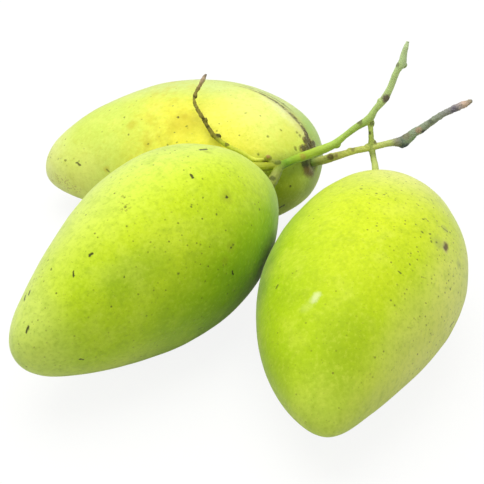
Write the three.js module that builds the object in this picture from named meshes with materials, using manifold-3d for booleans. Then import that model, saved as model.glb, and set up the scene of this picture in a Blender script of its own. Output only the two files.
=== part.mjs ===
// Three green mangoes on one cut, branching fruit stalk, lying on a table as picked.
// Millimetres, +Z up. The origin is the middle of the part's footprint, at table height.

import * as THREE from 'three';
import { mergeVertices } from 'three/addons/utils/BufferGeometryUtils.js';
import Module from 'manifold-3d';

// Fineness of the solids
const FRUIT_SIDES = 40;
const FRUIT_RINGS = 28;
const STALK_SIDES = 8;
const STALK_STEP = 2.9;
const KNOB_SIDES = 7;
const KNOB_RINGS = 5;

// How the pieces meet
const REST_SINK = 0.5;
const STALK_GAP = 0.3;

// The hollow in the skin where the stalk enters the fruit
const SEAT_DEPTH = 1.5;
const SEAT_RADIUS = 6;

// Each fruit has its stem end at its own -X, its tip at +X and its full back at +Y.
// place is its middle on the table; turn is its roll, pitch and yaw in degrees.
// stemFull and endFull shift the girth to the stem end and to both ends, backFull tells the
// back from the belly, stemPoint and tipPoint make an end blunt (under 1) or pointed, and
// stemBend and tipBend curve the ends towards the belly, and sinus flattens the belly before
// the tip. seat is where the stalk enters.
const FRUITS = {
  mango_left: {
    length: 122.3, width: 65.5, thickness: 73.2,
    place: [-36.1, -25.1], turn: [-0.3, 5.6, 221.4],
    stemFull: 0.208, backFull: 0.059, endFull: -0.102, sinus: 0.278,
    stemPoint: 1.15, tipPoint: 0.96, stemBend: -0.6, tipBend: -6.8,
    seat: [10.0, 15.1, 40.8], seatFacing: [0.75, 0.66, 0.1],
    colour: 0xb4dc3c,
  },
  mango_right: {
    length: 125.5, width: 73.7, thickness: 61.0,
    place: [43.2, -39.6], turn: [175.0, 5.1, 260.2],
    stemFull: 0.136, backFull: 0.178, endFull: -0.25, sinus: 0.293,
    stemPoint: 0.69, tipPoint: 1.04, stemBend: 1.0, tipBend: -5.5,
    seat: [53.8, 22.7, 35.4], seatFacing: [0.17, 0.98, 0.09],
    colour: 0xc3e632,
  },
  mango_back: {
    length: 121.9, width: 72.5, thickness: 56.8,
    place: [-24.5, 62.4], turn: [169.7, 5.9, 165.7],
    stemFull: 0.133, backFull: 0.017, endFull: -0.126, sinus: 0.128,
    stemPoint: 0.82, tipPoint: 0.81, stemBend: 3.0, tipBend: 11.9,
    seat: [30.5, 38.7, 37.5], seatFacing: [0.84, -0.43, 0.33],
    colour: 0xe6eb50,
  },
};

// Centrelines of the fruit stalk's limbs: x, y, z and the limb's diameter there
const MAIN_STALK = [
  [8.3, 13.6, 40.5, 4.0], [10.9, 16.0, 41.0, 4.2], [13.3, 20.6, 42.6, 4.0],
  [15.0, 24.5, 44.2, 3.3], [19.4, 28.0, 44.6, 3.1], [24.8, 32.0, 44.4, 3.6],
  [31.9, 36.0, 44.8, 3.7], [37.5, 37.5, 46.7, 3.2], [42.0, 38.5, 50.3, 2.4],
  [46.4, 39.3, 53.8, 2.7], [51.5, 40.0, 57.3, 3.4], [53.7, 40.7, 61.1, 2.5],
  [57.2, 41.5, 65.8, 3.1], [59.3, 42.5, 70.2, 2.6], [61.5, 43.5, 77.2, 2.5],
  [63.3, 44.0, 80.5, 3.2], [63.8, 44.7, 84.1, 2.4], [64.4, 45.3, 86.8, 2.0],
  [65.1, 46.0, 88.8, 0.9],
];
const RIGHT_FRUIT_STALK = [
  [51.9, 40.0, 56.8, 2.0], [52.5, 38.0, 51.9, 1.9], [52.9, 36.0, 46.5, 2.6],
  [53.5, 33.0, 43.6, 2.3], [54.1, 29.5, 41.5, 2.6], [54.3, 27.6, 38.4, 3.0],
  [54.0, 24.8, 36.2, 3.5], [53.5, 21.2, 35.2, 3.6],
];
const CROSS_STALK = [
  [28.9, 39.3, 36.8, 3.6], [33.3, 38.7, 38.2, 3.4], [37.7, 39.0, 39.7, 3.4],
  [42.5, 37.8, 42.2, 2.8], [46.4, 37.0, 44.1, 2.6], [52.7, 36.0, 46.2, 2.6],
  [58.7, 36.0, 47.9, 2.4], [62.0, 36.5, 48.3, 3.0], [65.3, 37.0, 48.5, 4.4],
  [67.7, 37.3, 50.0, 4.2], [69.9, 37.6, 52.2, 3.3], [72.7, 38.0, 53.8, 3.2],
  [78.7, 38.5, 58.7, 2.6], [82.5, 39.0, 61.1, 2.5], [86.4, 39.4, 63.0, 2.8],
  [89.5, 39.7, 64.4, 2.7], [92.2, 40.0, 65.9, 1.2],
];
const DRY_TWIG = [
  [14.0, 25.0, 45.6, 2.2], [10.4, 26.0, 46.6, 1.8], [5.2, 26.5, 46.3, 1.8],
  [-0.4, 28.5, 48.6, 1.8], [-6.4, 31.0, 50.5, 1.8], [-10.9, 34.5, 52.4, 1.7],
  [-13.4, 38.0, 54.0, 1.5], [-15.5, 41.0, 56.3, 1.5], [-18.0, 44.5, 58.9, 1.3],
  [-19.6, 48.0, 61.1, 1.2], [-19.1, 51.0, 63.1, 1.2], [-17.7, 53.0, 64.8, 1.4],
  [-16.1, 55.5, 66.7, 1.8], [-14.8, 57.5, 68.4, 0.8],
];
const SPARE_STUB = [[14.0, 24.5, 44.7, 1.8], [9.6, 23.5, 45.1, 3.3], [4.0, 22.0, 45.8, 3.9]];
const LIMBS = [MAIN_STALK, RIGHT_FRUIT_STALK, CROSS_STALK, DRY_TWIG, SPARE_STUB];

// Bud scars, collars and broken side shoots that stand out of the limbs: x, y, z, radius
const KNOBS = [
  [62.1, 44.0, 79.6, 1.2], [64.4, 44.0, 79.4, 1.1], [57.9, 41.6, 66.1, 1.5],
  [55.3, 41.5, 65.0, 1.0], [48.8, 39.6, 55.2, 1.6], [52.4, 40.0, 55.4, 1.7],
  [39.0, 37.5, 46.4, 1.4], [10.4, 26.0, 47.8, 1.3], [14.0, 25.0, 45.6, 1.5],
  [51.5, 36.2, 46.8, 1.3], [53.7, 36.6, 47.9, 1.3], [36.9, 39.2, 39.6, 1.9],
  [44.4, 37.4, 43.7, 1.5], [65.8, 37.0, 47.8, 2.3], [-11.9, 35.0, 52.9, 1.0],
  [-9.5, 34.7, 52.6, 0.9], [-14.6, 40.6, 56.6, 0.9], [-16.6, 42.0, 57.4, 0.9],
  [-18.9, 50.0, 62.3, 0.9], [14.2, 22.6, 43.4, 2.3],
];

const STALK_COLOUR = 0x86a03c;
const FRUIT_ROUGHNESS = 0.42;
const STALK_ROUGHNESS = 0.65;

const wasm = await Module();
wasm.setup();

// A closed mesh as a solid that can be joined and cut
function solidFrom(geometry) {
  geometry.deleteAttribute('normal');
  geometry.deleteAttribute('uv');
  const merged = mergeVertices(geometry);
  return new wasm.Manifold(new wasm.Mesh({
    numProp: 3,
    vertProperties: new Float32Array(merged.attributes.position.array),
    triVerts: new Uint32Array(merged.index.array),
  }));
}

function geometryFrom(solid) {
  const { vertProperties, triVerts, numProp } = solid.getMesh();
  const geometry = new THREE.BufferGeometry();
  geometry.setAttribute('position', new THREE.BufferAttribute(vertProperties, numProp));
  geometry.setIndex(new THREE.BufferAttribute(triVerts, 1));
  geometry.computeVertexNormals();
  return geometry;
}

// Half girth of a fruit at an angle from its stem pole. side runs from 1 at the back
// to -1 at the belly.
function girth(fruit, theta, side) {
  const c = Math.cos(theta);
  const power = (fruit.stemPoint * (1 + c) + fruit.tipPoint * (1 - c)) / 2;
  const fullness = (fruit.stemFull - fruit.backFull * side) * c + fruit.endFull * c * c;
  const beforeTip = 5 * ((1 - c) / 2) ** 4 * ((1 + c) / 2) * ((1 - side) / 2);
  return Math.sin(theta) ** power * (1 + fullness - fruit.sinus * beforeTip);
}

function widestGirth(fruit) {
  let widest = 0;
  for (let degrees = 1; degrees < 180; degrees += 1) {
    widest = Math.max(widest, girth(fruit, THREE.MathUtils.degToRad(degrees), 0));
  }
  return widest;
}

// A unit sphere drawn out into the fruit's form, turned and lowered onto the table,
// with the hollow pressed in where the stalk enters. grow adds to it on every side.
function fruitGeometry(fruit, grow) {
  const geometry = new THREE.SphereGeometry(1, FRUIT_SIDES, FRUIT_RINGS);
  const position = geometry.attributes.position;
  const widest = widestGirth(fruit);
  const halfLength = fruit.length / 2;
  const turn = new THREE.Matrix4().makeRotationFromEuler(
    new THREE.Euler(...fruit.turn.map(THREE.MathUtils.degToRad), 'ZYX'),
  );
  const point = new THREE.Vector3();
  let lowest = Infinity;
  for (let i = 0; i < position.count; i += 1) {
    point.fromBufferAttribute(position, i);
    const along = -point.y;
    const ring = Math.hypot(point.x, point.z) || 1;
    const side = point.x / ring;
    const radius = girth(fruit, Math.acos(point.y), side) / widest;
    const bend = (along < 0 ? fruit.stemBend : fruit.tipBend) * along ** 2;
    point.set(
      (halfLength + grow) * along,
      (fruit.width / 2 + grow) * radius * side - bend,
      (fruit.thickness / 2 + grow) * radius * (point.z / ring),
    );
    point.applyMatrix4(turn);
    lowest = Math.min(lowest, point.z);
    position.setXYZ(i, point.x, point.y, point.z);
  }
  const seat = new THREE.Vector3(...fruit.seat).sub(new THREE.Vector3(...fruit.place, 0));
  const facing = new THREE.Vector3(...fruit.seatFacing).normalize();
  for (let i = 0; i < position.count; i += 1) {
    point.fromBufferAttribute(position, i);
    point.z -= lowest + grow + REST_SINK;
    const reach = point.distanceTo(seat) / SEAT_RADIUS;
    point.addScaledVector(facing, -SEAT_DEPTH * Math.exp(-(reach ** 2)));
    position.setXYZ(i, point.x, point.y, point.z);
  }
  return geometry;
}

function fruitMesh(name, fruit) {
  const solid = solidFrom(fruitGeometry(fruit, 0)).trimByPlane([0, 0, 1], 0);
  const material = new THREE.MeshStandardMaterial({
    color: fruit.colour, roughness: FRUIT_ROUGHNESS, metalness: 0,
  });
  const mesh = new THREE.Mesh(geometryFrom(solid), material);
  mesh.name = name;
  mesh.position.set(...fruit.place, 0);
  return mesh;
}

// A closed cylinder bent along its centreline, with the diameter of each point
function limbSolid(points) {
  const curve = new THREE.CatmullRomCurve3(
    points.map(([x, y, z]) => new THREE.Vector3(x, y, z)), false, 'centripetal',
  );
  const steps = Math.ceil(curve.getLength() / STALK_STEP);
  const frames = curve.computeFrenetFrames(steps, false);
  const geometry = new THREE.CylinderGeometry(1, 1, 1, STALK_SIDES, steps);
  const position = geometry.attributes.position;
  for (let i = 0; i < position.count; i += 1) {
    const step = Math.round((position.getY(i) + 0.5) * steps);
    const place = curve.getUtoTmapping(step / steps) * (points.length - 1);
    const before = Math.min(Math.floor(place), points.length - 2);
    const radius = THREE.MathUtils.lerp(
      points[before][3], points[before + 1][3], place - before,
    ) / 2;
    const point = curve.getPointAt(step / steps);
    point.addScaledVector(frames.binormals[step], position.getX(i) * radius);
    point.addScaledVector(frames.normals[step], position.getZ(i) * radius);
    position.setXYZ(i, point.x, point.y, point.z);
  }
  return solidFrom(geometry);
}

function knobSolid([x, y, z, radius]) {
  const geometry = new THREE.SphereGeometry(radius, KNOB_SIDES, KNOB_RINGS);
  return solidFrom(geometry.translate(x, y, z));
}

// The whole stalk as one body, kept clear of the fruits it grows into
function stalkMesh() {
  const pieces = [...LIMBS.map(limbSolid), ...KNOBS.map(knobSolid)];
  let stalk = pieces.reduce((whole, piece) => whole.add(piece));
  for (const fruit of Object.values(FRUITS)) {
    const geometry = fruitGeometry(fruit, STALK_GAP).translate(...fruit.place, 0);
    stalk = stalk.subtract(solidFrom(geometry));
  }
  const material = new THREE.MeshStandardMaterial({
    color: STALK_COLOUR, roughness: STALK_ROUGHNESS, metalness: 0,
  });
  const mesh = new THREE.Mesh(geometryFrom(stalk), material);
  mesh.name = 'fruit_stalk';
  return mesh;
}

const cluster = new THREE.Group();
cluster.add(...Object.entries(FRUITS).map(([name, fruit]) => fruitMesh(name, fruit)));
cluster.add(stalkMesh());

// The cluster is moved so that the middle of its footprint is the origin
const footprint = new THREE.Box3().setFromObject(cluster, true);
const middle = footprint.getCenter(new THREE.Vector3());
cluster.position.set(-middle.x, -middle.y, 0);

const mango = new THREE.Group();
mango.add(cluster);

export default mango;
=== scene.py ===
"""Looks for three green mangoes on one cut fruit stalk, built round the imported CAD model."""

import math

import bmesh
import bpy
from bpy.props import FloatProperty, FloatVectorProperty, PointerProperty
from mathutils import Euler, Matrix, Vector, bvhtree, geometry, kdtree, noise


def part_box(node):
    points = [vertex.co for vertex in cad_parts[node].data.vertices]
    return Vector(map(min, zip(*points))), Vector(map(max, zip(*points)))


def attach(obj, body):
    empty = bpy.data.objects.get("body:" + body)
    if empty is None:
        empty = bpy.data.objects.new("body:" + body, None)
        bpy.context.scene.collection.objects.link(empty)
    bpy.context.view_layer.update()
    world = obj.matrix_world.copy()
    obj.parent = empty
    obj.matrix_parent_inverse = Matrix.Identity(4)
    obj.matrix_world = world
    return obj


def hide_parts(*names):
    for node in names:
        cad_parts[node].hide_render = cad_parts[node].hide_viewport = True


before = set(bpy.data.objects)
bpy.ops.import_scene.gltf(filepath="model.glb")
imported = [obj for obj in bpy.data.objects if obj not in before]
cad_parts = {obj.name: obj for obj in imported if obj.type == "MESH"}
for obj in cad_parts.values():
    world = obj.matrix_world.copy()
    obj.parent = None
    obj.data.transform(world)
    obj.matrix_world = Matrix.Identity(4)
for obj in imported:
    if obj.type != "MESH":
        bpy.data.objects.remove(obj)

bl_info = {
    "name": "Green Mango Cluster",
    "version": (1, 0, 0),
    "blender": (4, 5, 0),
    "location": "3D View > Sidebar > Mangoes",
    "description": "Three green mangoes with their fruit stalk, and a pale studio",
    "category": "Object",
}

MM = 0.001

# The fruits' forms in millimetres, as in the CAD source. Each fruit has its stem end at its own
# -X, its tip at +X and its full back at +Y. place is its middle on the table, turn its roll,
# pitch and yaw in degrees, and seat is where the stalk enters.
FORMS = {
    "mango_left": {
        "place": (-36.1, -25.1), "turn": (-0.3, 5.6, 221.4),
        "stem_full": 0.208, "back_full": 0.059, "end_full": -0.102, "sinus": 0.278,
        "stem_point": 1.15, "tip_point": 0.96, "stem_bend": -0.6, "tip_bend": -6.8,
        "seat": (10.0, 15.1, 40.8), "seat_facing": (0.75, 0.66, 0.1),
    },
    "mango_right": {
        "place": (43.2, -39.6), "turn": (175.0, 5.1, 260.2),
        "stem_full": 0.136, "back_full": 0.178, "end_full": -0.25, "sinus": 0.293,
        "stem_point": 0.69, "tip_point": 1.04, "stem_bend": 1.0, "tip_bend": -5.5,
        "seat": (53.8, 22.7, 35.4), "seat_facing": (0.17, 0.98, 0.09),
    },
    "mango_back": {
        "place": (-24.5, 62.4), "turn": (169.7, 5.9, 165.7),
        "stem_full": 0.133, "back_full": 0.017, "end_full": -0.126, "sinus": 0.128,
        "stem_point": 0.82, "tip_point": 0.81, "stem_bend": 3.0, "tip_bend": 11.9,
        "seat": (30.5, 38.7, 37.5), "seat_facing": (0.84, -0.43, 0.33),
    },
}
FRUIT_SIDES = 208
FRUIT_RINGS = 152
REST_SINK = 0.5  # millimetres that a fruit gives under its own weight
SEAT_DEPTH, SEAT_RADIUS = 1.5, 6.0  # the hollow round a stalk's entry, in millimetres
SEAT_RIM = (0.35, 4.6, 1.5)  # height, distance from the stalk and breadth of the swollen rim
LUMPS = ((15.0, 0.32), (5.5, 0.07))  # wavelength and height of the skin's unevenness
SINUS_GAIN = 5  # scale of the hollow before the tip, deepest four fifths of the way along
WAVER = (1.3, 1.3)  # wavelength of the marks' ragged edges, and how far they stray
# The photograph's side in pixels, the camera's sensor in millimetres, and what the camera looks at
PHOTO_SIDE, SENSOR, LOOK_AT = 484, 36.0, (0.0, 0.0, 25.0)
# The dried sap's line lies in one plane of the back fruit's own axes
SAP_FACING, SAP_OFFSET = (-0.098, 0.569, 0.817), 6.19

# Centrelines of the fruit stalk's limbs in the CAD source: x, y, z and diameter in millimetres
MAIN_STALK = (
    (8.3, 13.6, 40.5, 4.0), (10.9, 16.0, 41.0, 4.2), (13.3, 20.6, 42.6, 4.0),
    (15.0, 24.5, 44.2, 3.3), (19.4, 28.0, 44.6, 3.1), (24.8, 32.0, 44.4, 3.6),
    (31.9, 36.0, 44.8, 3.7), (37.5, 37.5, 46.7, 3.2), (42.0, 38.5, 50.3, 2.4),
    (46.4, 39.3, 53.8, 2.7), (51.5, 40.0, 57.3, 3.4), (53.7, 40.7, 61.1, 2.5),
    (57.2, 41.5, 65.8, 3.1), (59.3, 42.5, 70.2, 2.6), (61.5, 43.5, 77.2, 2.5),
    (63.3, 44.0, 80.5, 3.2), (63.8, 44.7, 84.1, 2.4), (64.4, 45.3, 86.8, 2.0),
    (65.1, 46.0, 88.8, 0.9),
)
RIGHT_FRUIT_STALK = (
    (51.9, 40.0, 56.8, 2.0), (52.5, 38.0, 51.9, 1.9), (52.9, 36.0, 46.5, 2.6),
    (53.5, 33.0, 43.6, 2.3), (54.1, 29.5, 41.5, 2.6), (54.3, 27.6, 38.4, 3.0),
    (54.0, 24.8, 36.2, 3.5), (53.5, 21.2, 35.2, 3.6),
)
CROSS_STALK = (
    (28.9, 39.3, 36.8, 3.6), (33.3, 38.7, 38.2, 3.4), (37.7, 39.0, 39.7, 3.4),
    (42.5, 37.8, 42.2, 2.8), (46.4, 37.0, 44.1, 2.6), (52.7, 36.0, 46.2, 2.6),
    (58.7, 36.0, 47.9, 2.4), (62.0, 36.5, 48.3, 3.0), (65.3, 37.0, 48.5, 4.4),
    (67.7, 37.3, 50.0, 4.2), (69.9, 37.6, 52.2, 3.3), (72.7, 38.0, 53.8, 3.2),
    (78.7, 38.5, 58.7, 2.6), (82.5, 39.0, 61.1, 2.5), (86.4, 39.4, 63.0, 2.8),
    (89.5, 39.7, 64.4, 2.7), (92.2, 40.0, 65.9, 1.2),
)
DRY_TWIG = (
    (14.0, 25.0, 45.6, 2.2), (10.4, 26.0, 46.6, 1.8), (5.2, 26.5, 46.3, 1.8),
    (-0.4, 28.5, 48.6, 1.8), (-6.4, 31.0, 50.5, 1.8), (-10.9, 34.5, 52.4, 1.7),
    (-13.4, 38.0, 54.0, 1.5), (-15.5, 41.0, 56.3, 1.5), (-18.0, 44.5, 58.9, 1.3),
    (-19.6, 48.0, 61.1, 1.2), (-19.1, 51.0, 63.1, 1.2), (-17.7, 53.0, 64.8, 1.4),
    (-16.1, 55.5, 66.7, 1.8), (-14.8, 57.5, 68.4, 0.8),
)
SPARE_STUB = ((14.0, 24.5, 44.7, 1.8), (9.6, 23.5, 45.1, 3.3), (4.0, 22.0, 45.8, 3.9))

# Bud scars, collars and broken side shoots on the limbs: x, y, z, radius
KNOBS = (
    (62.1, 44.0, 79.6, 1.2), (64.4, 44.0, 79.4, 1.1), (57.9, 41.6, 66.1, 1.5),
    (55.3, 41.5, 65.0, 1.0), (48.8, 39.6, 55.2, 1.6), (52.4, 40.0, 55.4, 1.7),
    (39.0, 37.5, 46.4, 1.4), (10.4, 26.0, 47.8, 1.3), (14.0, 25.0, 45.6, 1.5),
    (51.5, 36.2, 46.8, 1.3), (53.7, 36.6, 47.9, 1.3), (36.9, 39.2, 39.6, 1.9),
    (44.4, 37.4, 43.7, 1.5), (65.8, 37.0, 47.8, 2.3), (-11.9, 35.0, 52.9, 1.0),
    (-9.5, 34.7, 52.6, 0.9), (-14.6, 40.6, 56.6, 0.9), (-16.6, 42.0, 57.4, 0.9),
    (-18.9, 50.0, 62.3, 0.9), (14.2, 22.6, 43.4, 2.3),
)


def paint(code):
    """A hexadecimal screen colour as the linear colour that a shader works with."""
    channels = ((code >> shift & 255) / 255 for shift in (16, 8, 0))
    return tuple(c / 12.92 if c <= 0.04045 else ((c + 0.055) / 1.055) ** 2.4 for c in channels)


# Bark colour along each limb, by the number of the centreline's point, and how dry it is there.
# Some darker stops are painted shade.
LIMBS = (
    (MAIN_STALK, (
        # The main stalk's stops at 2.8 and 3.6 are darker: painted shade
        (0, 0x868E34, 0.4), (2, 0x949C46, 0.4), (2.8, 0x83982E, 0.1), (3.6, 0x76A21A, 0.0),
        (5, 0xA8C42C, 0.0), (8, 0xADCA5F, 0.0), (9.4, 0xA0BA5C, 0.0), (12, 0xBCD088, 0.0),
        (15, 0xBAD094, 0.05), (18, 0xC0D29E, 0.2),
    )),
    (RIGHT_FRUIT_STALK, (
        # The stop at 2.8, just below the crossing, is darker: painted shadow of the cross stalk
        (0, 0xBCD06C, 0.1), (2, 0xA8B658, 0.2), (2.8, 0x8C9A4C, 0.2), (4, 0xCEDA7C, 0.0),
        (7, 0xA8B24C, 0.3),
    )),
    (CROSS_STALK, (
        # The first stop is darker: painted shade where the limb enters the back fruit under the
        # main stalk
        (0, 0x6E8A3C, 0.3), (1, 0xB4B85E, 0.3), (1.7, 0xC0C662, 0.3), (2.6, 0xDCDC78, 0.2),
        (4, 0xD6DC70, 0.1), (6.4, 0xB8C470, 0.2), (7.2, 0x94927A, 0.7), (8, 0x6E7C70, 0.7),
        (9, 0x94A684, 0.7), (12, 0x8C9480, 0.7), (13.4, 0x8C8A88, 0.9), (14.4, 0xAA9C96, 1.0),
        (14.9, 0xCAAE96, 1.0), (16, 0x88846E, 1.0),
    )),
    (DRY_TWIG, (
        (0, 0x75802A, 0.3), (2, 0xD8E04E, 0.2), (4, 0xC0CA30, 0.4), (5, 0x7C781E, 0.9),
        (7, 0x7E762A, 1.0), (9, 0x8A8234, 1.0), (10.6, 0x86783C, 1.0), (11.2, 0xA48C5C, 1.0),
        (12.2, 0xB09C80, 1.0), (13, 0x62584E, 1.0),
    )),
    (SPARE_STUB, ((0, 0x8A9622, 0.1), (1, 0xA8B028, 0.1), (2, 0xB4BC30, 0.1))),
)
# Scars on the bark: x, y, z, radius, colour, strength
SCARS = (
    (24.6, 30.4, 45.4, 1.3, 0xB0883C, 0.5), (57.8, 40.6, 66.4, 1.7, 0x5C4448, 0.88),
    (47.9, 39.4, 56.2, 1.2, 0x5C5C34, 0.8), (52.6, 38.8, 56.0, 1.0, 0x4C4E30, 0.65),
    (51.8, 37.4, 52.4, 0.7, 0x3F421C, 0.8), (54.3, 36.0, 48.7, 0.9, 0x5E5038, 0.65),
    (36.6, 37.8, 40.6, 1.4, 0x5A3E30, 0.8), (38.9, 37.6, 41.2, 0.9, 0xB59C70, 0.7),
    (45.4, 36.6, 45.2, 1.1, 0x6F6038, 0.6), (66.0, 36.0, 46.8, 2.1, 0x3E4A4E, 0.85),
    (69.6, 36.2, 50.4, 1.1, 0x6C9858, 0.6), (66.6, 37.0, 51.2, 1.8, 0x7B6A55, 0.6),
    (71.5, 36.6, 54.2, 1.3, 0xA69076, 0.9), (73.6, 37.0, 53.2, 1.2, 0x2F3030, 0.85),
    (76.2, 37.6, 57.4, 1.0, 0x3A3F38, 0.6), (85.4, 38.4, 62.4, 1.6, 0x686272, 0.8),
    (12.0, 17.4, 43.4, 1.2, 0x464C1C, 0.8), (10.4, 25.2, 48.6, 0.8, 0xA87848, 0.8),
    (9.6, 25.8, 46.2, 1.3, 0x55401A, 0.7), (13.4, 24.0, 46.6, 0.6, 0x5A6A20, 0.5),
    (61.4, 43.4, 80.0, 0.9, 0x5E5A40, 0.65), (64.9, 43.4, 79.0, 0.9, 0x7E8A50, 0.6),
    (-6.0, 30.4, 51.2, 0.9, 0x3F3A12, 0.7), (-9.4, 34.2, 53.0, 1.0, 0x2E2A0C, 0.8),
    (-13.6, 38.4, 54.4, 0.8, 0x2E2A0C, 0.7), (-15.6, 41.0, 56.8, 0.8, 0x2E2A0C, 0.75),
    (-19.2, 49.4, 62.0, 0.8, 0x3A3210, 0.7), (65.3, 46.0, 89.0, 0.5, 0x6E6E4C, 0.5),
)
STALK_STEP, STALK_VOXEL = 0.5, 0.2  # millimetres between a limb's samples, and in its remesh
SMOOTH_STEPS = 8
BARK_SWELL = 0.09  # makes up for what the smoothing takes off
DETAIL_SEED = 11.0
KNOB_FORM = (0.85, 1.15)  # breadth across the limb and length along it, to the CAD knob's
GRAIN_DRAW = 0.84  # how far the bark's grain is drawn out along the limb
TORN_RADIUS, TORN_REACH, TORN_HEIGHT = 1.6, 0.9, 0.35  # a thin limb's torn end

# The fruits' waxy bloom
WAX = {
    "Specular IOR Level": 0.28, "Sheen Weight": 0.34, "Sheen Roughness": 0.44,
    "Sheen Tint": (0.9, 1.0, 0.6, 1.0), "Coat Weight": 0.04, "Coat Roughness": 0.3,
}

# Marks on the skins. Each is a radius in millimetres, and the pixels of the photograph where the
# mark starts and, if it is long, where it ends.
# Some of them are painted light and shade: the left fruit's lighter clouds, the back fruit's lit
# patch, the creases where the fruits meet, and the pit, the stalk's shadow and the shaded green
# below them on the back fruit.
LEFT_GREEN_CLOUD = ((4.5, (120, 281), (153, 258)),)
# Lighter patches on the left fruit's right half: painted light
LEFT_PAINTED_LIGHT_CLOUDS = ((4.0, (157, 240), (173, 234)), (4.5, (255, 183)))
# Painted shade in the crease where the left fruit meets the right one
LEFT_CREASE_SHADE = ((4.6, (267, 254), (256, 282)),)
LEFT_SPECKS = ((1.8, (124, 208), (124, 196)), (1.6, (41, 273), (31, 283)))
LEFT_HALOS = ((1.5, (226.2, 196.3)), (0.9, (207, 151)), (1.0, (224, 260)), (1.1, (230, 246)))
LEFT_FAINT_DOTS = (
    (0.45, (216, 213.9)), (0.45, (190.5, 206.2)), (0.5, (258.6, 209)), (0.5, (177.7, 273.4)),
    (0.5, (50.7, 268.5)), (0.4, (123.3, 276.4)), (0.4, (202.4, 197.3)), (0.4, (231.8, 244.8)),
    (0.4, (124, 197)), (0.35, (198.2, 328.2), (200.6, 326.8)), (0.45, (124.7, 206.7)),
)
LEFT_DARK_DASHES = (
    (0.55, (89, 255), (92, 253)), (0.42, (73, 271), (73, 276)), (0.6, (226.2, 196.3)),
    (0.5, (189.8, 174.4), (192, 177)), (0.55, (200.3, 148.9), (206.2, 148.2)),
    (0.48, (27.8, 327), (26.3, 331.2)), (0.45, (24.2, 296), (23.6, 299.6)),
    (0.45, (28.8, 291), (27.8, 294)), (0.36, (231.2, 270.5), (232, 274)),
    (0.36, (79.2, 358.7), (83, 358.7)), (0.42, (230, 247)),
)
RIGHT_GREEN_CLOUD = ((5.0, (334, 379), (348, 332)),)
# Painted shade in the crease where the right fruit meets the left one
RIGHT_CREASE_SHADE = ((3.0, (268, 263), (261, 291)),)
RIGHT_HALOS = ((1.5, (438, 243)), (1.0, (459, 263.3)), (1.0, (445, 228)))
SCAR_RIM = ((1.6, (445.6, 243.5), (445, 249)),)
RIGHT_FAINT_DOTS = (
    (0.6, (360.7, 187.6)), (0.5, (376.2, 192.1)), (0.45, (384, 193.2)),
    (0.36, (398, 270.5), (400.5, 272.5)), (0.45, (390.3, 299.8)), (0.5, (423.7, 218.1)),
    (0.5, (421.8, 231.3)), (0.5, (429.7, 233.5)), (0.5, (430.9, 241)), (0.42, (436.1, 241.6)),
    (0.4, (409.8, 263.2)), (0.5, (450.2, 288.5)), (0.42, (449.6, 325.8), (453.4, 321.2)),
    (0.4, (276.2, 287), (277.3, 284.5)), (0.3, (441.2, 225.8), (447, 230.6)), (0.42, (450, 231.8)),
)
RIGHT_SCAR = ((1.2, (446, 245), (445, 248)),)
SCUFF = (1.0, (316, 295), (313, 299))
SCUFF_TAIL = (0.9, (309, 304), (304, 308))
BACK_OCHRE_HALOS = (
    (3.6, (186, 122), (180, 121)), (1.0, (184, 115.6)), (1.6, (131, 124)), (1.2, (147.5, 143.5)),
    (1.0, (106, 168.4)),
)
BACK_OCHRE_CLOUD = ((3.4, (288, 138), (293, 129)),)
BACK_TIP_SPECKS = ((1.2, (50, 152), (49, 158)), (0.9, (60, 159), (67, 158)))
BACK_BELLY_SPECKS = ((2.2, (55, 180), (69, 189)), (2.0, (60, 178), (74, 188)))
BACK_FAINT_DOTS = (
    (0.5, (173.9, 132.1)), (0.45, (186.2, 125.6)), (0.45, (147.5, 143.5)), (0.5, (128.2, 134.2)),
    (0.5, (124.1, 116.6)), (0.5, (64.7, 160)), (0.45, (106, 168.4), (108.6, 171)),
    (0.45, (167, 144.3)), (0.45, (176.4, 142.1)), (0.5, (267.6, 135.9)), (0.5, (257.8, 153.7)),
    (0.5, (295.8, 149.2)),
)
BACK_SHOULDER_DOTS = (
    (0.5, (280.9, 129.1)), (0.75, (300, 135)), (0.65, (297.1, 131.8)), (0.7, (295, 147)),
)
BACK_DARK_DOTS = (
    (0.6, (177.5, 116.6)), (0.5, (290.6, 186)), (0.5, (75.9, 162.2), (79, 165)),
    (0.45, (279.8, 207), (283.6, 205)),
)
BACK_LIT_PATCH = (9.0, (261, 105))
CORK_WEDGE = (0.9, (304.5, 129.5), (308, 138))
CORK_RIM = (2.2, (305, 150), (314, 145))
CORK_CORNER = (1.7, (306, 140), (310, 142))
# Painted shade in the pit where the stalk enters the back fruit
PIT_SHADOW = (1.7, (305, 162), (318, 161))
SCAB = (2.1, (308, 169), (312, 171))
# Greener skin low on the back fruit's stem end, with painted shade between the fruits
LOW_GREEN_AND_SHADE = (3.6, (318, 170), (311.5, 184.5))
# Painted shadow of the main stalk on the back fruit
STALK_SHADOW_PATCH = (2.4, (279.5, 167.5), (307.5, 161.5))


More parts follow.
